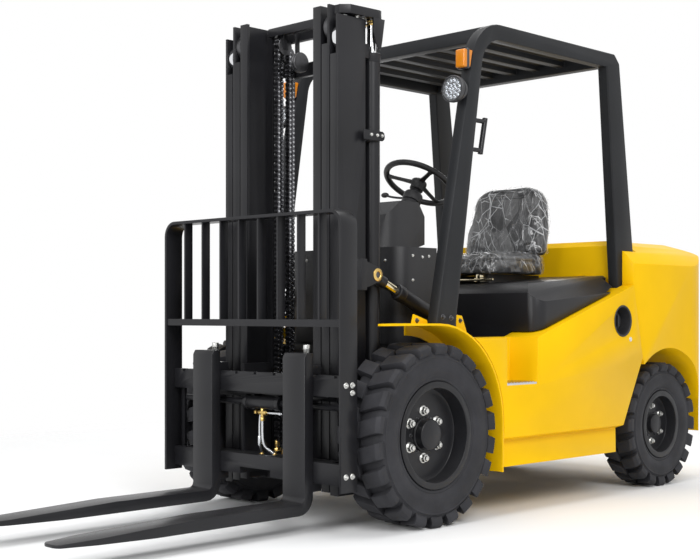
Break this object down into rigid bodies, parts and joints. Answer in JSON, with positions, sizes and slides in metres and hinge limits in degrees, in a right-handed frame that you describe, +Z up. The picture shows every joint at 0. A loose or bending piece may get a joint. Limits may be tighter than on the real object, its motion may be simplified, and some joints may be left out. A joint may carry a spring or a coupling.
{
  "type": "forklift",
  "caption": "Counterbalanced forklift truck with an open cab, overhead guard, three-stage lifting mast, side-shifting fork carriage and load backrest.",
  "frame": {"origin": "middle of the bounding box, on the floor", "axes": "+X towards the fork tips, +Y to the driver's left, +Z up"},
  "size_m": [3.7064, 1.21, 2.018],
  "materials": {
    "yellow_paint": "gloss",
    "black_paint": "satin",
    "chassis_paint": "satin",
    "castings": "matte",
    "black_plastic": "matte",
    "seat_cover": "satin",
    "bright_steel": "satin",
    "tyre_rubber": "matte",
    "lamp_shell": "gloss",
    "amber_lens": "gloss",
    "red_lens": "gloss"
  },
  "bodies": {
    "chassis": {"frame": "chassis_paint", "side_panels": "yellow_paint", "step_treads": "bright_steel", "counterweight": "yellow_paint", "front_fenders": "yellow_paint", "floor_plate": "black_plastic", "cowl": "black_plastic", "steering_column": "black_plastic", "control_levers": "black_plastic", "guard_sides": "black_paint", "guard_roof": "black_paint", "grab_handle": "black_paint", "head_lamps": "lamp_shell", "turn_signals": "amber_lens", "rear_lamps": "red_lens", "engine_block": "castings", "drive_axle": "castings", "steer_axle": "castings"},
    "hood": {"hood": "black_paint", "seat_base": "chassis_paint", "seat_cushion": "seat_cover", "seat_back": "seat_cover"},
    "steering_wheel": {"steering_wheel": "black_plastic"},
    "front_left_wheel": {"front_left_tyre": "tyre_rubber", "front_left_rim": "black_paint"},
    "front_right_wheel": {"front_right_tyre": "tyre_rubber", "front_right_rim": "black_paint"},
    "left_knuckle": {"left_knuckle": "chassis_paint"},
    "right_knuckle": {"right_knuckle": "chassis_paint"},
    "rear_left_wheel": {"rear_left_tyre": "tyre_rubber", "rear_left_rim": "black_paint"},
    "rear_right_wheel": {"rear_right_tyre": "tyre_rubber", "rear_right_rim": "black_paint"},
    "outer_mast": {"outer_mast": "black_paint", "lift_barrels": "black_paint", "inner_chains_rear": "bright_steel"},
    "tilt_barrels": {"tilt_barrels": "black_paint"},
    "tilt_rods": {"tilt_rods": "bright_steel"},
    "middle_mast": {"middle_mast": "black_paint", "lift_rods": "bright_steel", "inner_chains_front": "bright_steel", "carriage_chains_rear": "bright_steel"},
    "inner_mast": {"inner_mast": "black_paint", "carriage_chains_front": "bright_steel"},
    "carriage": {"carriage": "black_paint"},
    "fork_frame": {"fork_frame": "black_paint", "load_backrest": "black_paint"},
    "left_fork": {"left_fork": "black_paint"},
    "right_fork": {"right_fork": "black_paint"}
  },
  "joints": [
    {"name": "front_left_roll", "type": "hinge", "parent": "chassis", "child": "front_left_wheel", "pos_m": [0.32685, 0.497, 0.355], "axis": [0, 1, 0], "continuous": true},
    {"name": "front_right_roll", "type": "hinge", "parent": "chassis", "child": "front_right_wheel", "pos_m": [0.32685, -0.497, 0.355], "axis": [0, 1, 0], "continuous": true},
    {"name": "left_steer", "type": "hinge", "parent": "chassis", "child": "left_knuckle", "pos_m": [-1.37315, 0.352, 0.295], "axis": [0, 0, 1], "range_deg": [-60, 60]},
    {"name": "right_steer", "type": "hinge", "parent": "chassis", "child": "right_knuckle", "pos_m": [-1.37315, -0.352, 0.295], "axis": [0, 0, 1], "range_deg": [-60, 60]},
    {"name": "rear_left_roll", "type": "hinge", "parent": "left_knuckle", "child": "rear_left_wheel", "pos_m": [-1.37315, 0.482, 0.295], "axis": [0, 1, 0], "continuous": true},
    {"name": "rear_right_roll", "type": "hinge", "parent": "right_knuckle", "child": "rear_right_wheel", "pos_m": [-1.37315, -0.482, 0.295], "axis": [0, 1, 0], "continuous": true},
    {"name": "mast_tilt", "type": "hinge", "parent": "chassis", "child": "outer_mast", "pos_m": [0.32685, 0, 0.355], "axis": [0, 1, 0], "range_deg": [-6, 6]},
    {"name": "tilt_barrel_swing", "type": "hinge", "parent": "chassis", "child": "tilt_barrels", "pos_m": [0.09685, 0, 0.812], "axis": [0, 1, 0], "range_deg": [-6, 6]},
    {"name": "tilt_rod_stroke", "type": "slide", "parent": "tilt_barrels", "child": "tilt_rods", "axis": [0.9174, 0, 0.3981], "range_m": [-0.055, 0.055]},
    {"name": "mast_lift", "type": "slide", "parent": "outer_mast", "child": "middle_mast", "axis": [0, 0, 1], "range_m": [0, 1.25], "deforming": ["inner_chains_rear"]},
    {"name": "inner_lift", "type": "slide", "parent": "middle_mast", "child": "inner_mast", "axis": [0, 0, 1], "range_m": [0, 1.25], "deforming": ["inner_chains_front", "carriage_chains_rear"]},
    {"name": "carriage_lift", "type": "slide", "parent": "inner_mast", "child": "carriage", "axis": [0, 0, 1], "range_m": [0, 1.25], "deforming": ["carriage_chains_front"]},
    {"name": "side_shift", "type": "slide", "parent": "carriage", "child": "fork_frame", "axis": [0, 1, 0], "range_m": [-0.1, 0.1]},
    {"name": "left_fork_spread", "type": "slide", "parent": "fork_frame", "child": "left_fork", "axis": [0, 1, 0], "range_m": [-0.18, 0.14]},
    {"name": "right_fork_spread", "type": "slide", "parent": "fork_frame", "child": "right_fork", "axis": [0, -1, 0], "range_m": [-0.18, 0.14]},
    {"name": "hood_lift", "type": "hinge", "parent": "chassis", "child": "hood", "pos_m": [-1.03315, 0, 0.988], "axis": [0, -1, 0], "range_deg": [0, 45]},
    {"name": "steering_wheel_turn", "type": "hinge", "parent": "chassis", "child": "steering_wheel", "pos_m": [-0.24515, 0, 1.408], "axis": [-0.5299, 0, 0.848], "continuous": true}
  ],
  "couplings": [
    {"joint": "right_steer", "follows": "left_steer", "ratio": 1},
    {"joint": "tilt_barrel_swing", "follows": "mast_tilt", "ratio": 0.928},
    {"joint": "tilt_rod_stroke", "follows": "mast_tilt", "m_per_rad": 0.5095},
    {"joint": "inner_lift", "follows": "mast_lift", "ratio": 1},
    {"joint": "carriage_lift", "follows": "mast_lift", "ratio": 1}
  ]
}
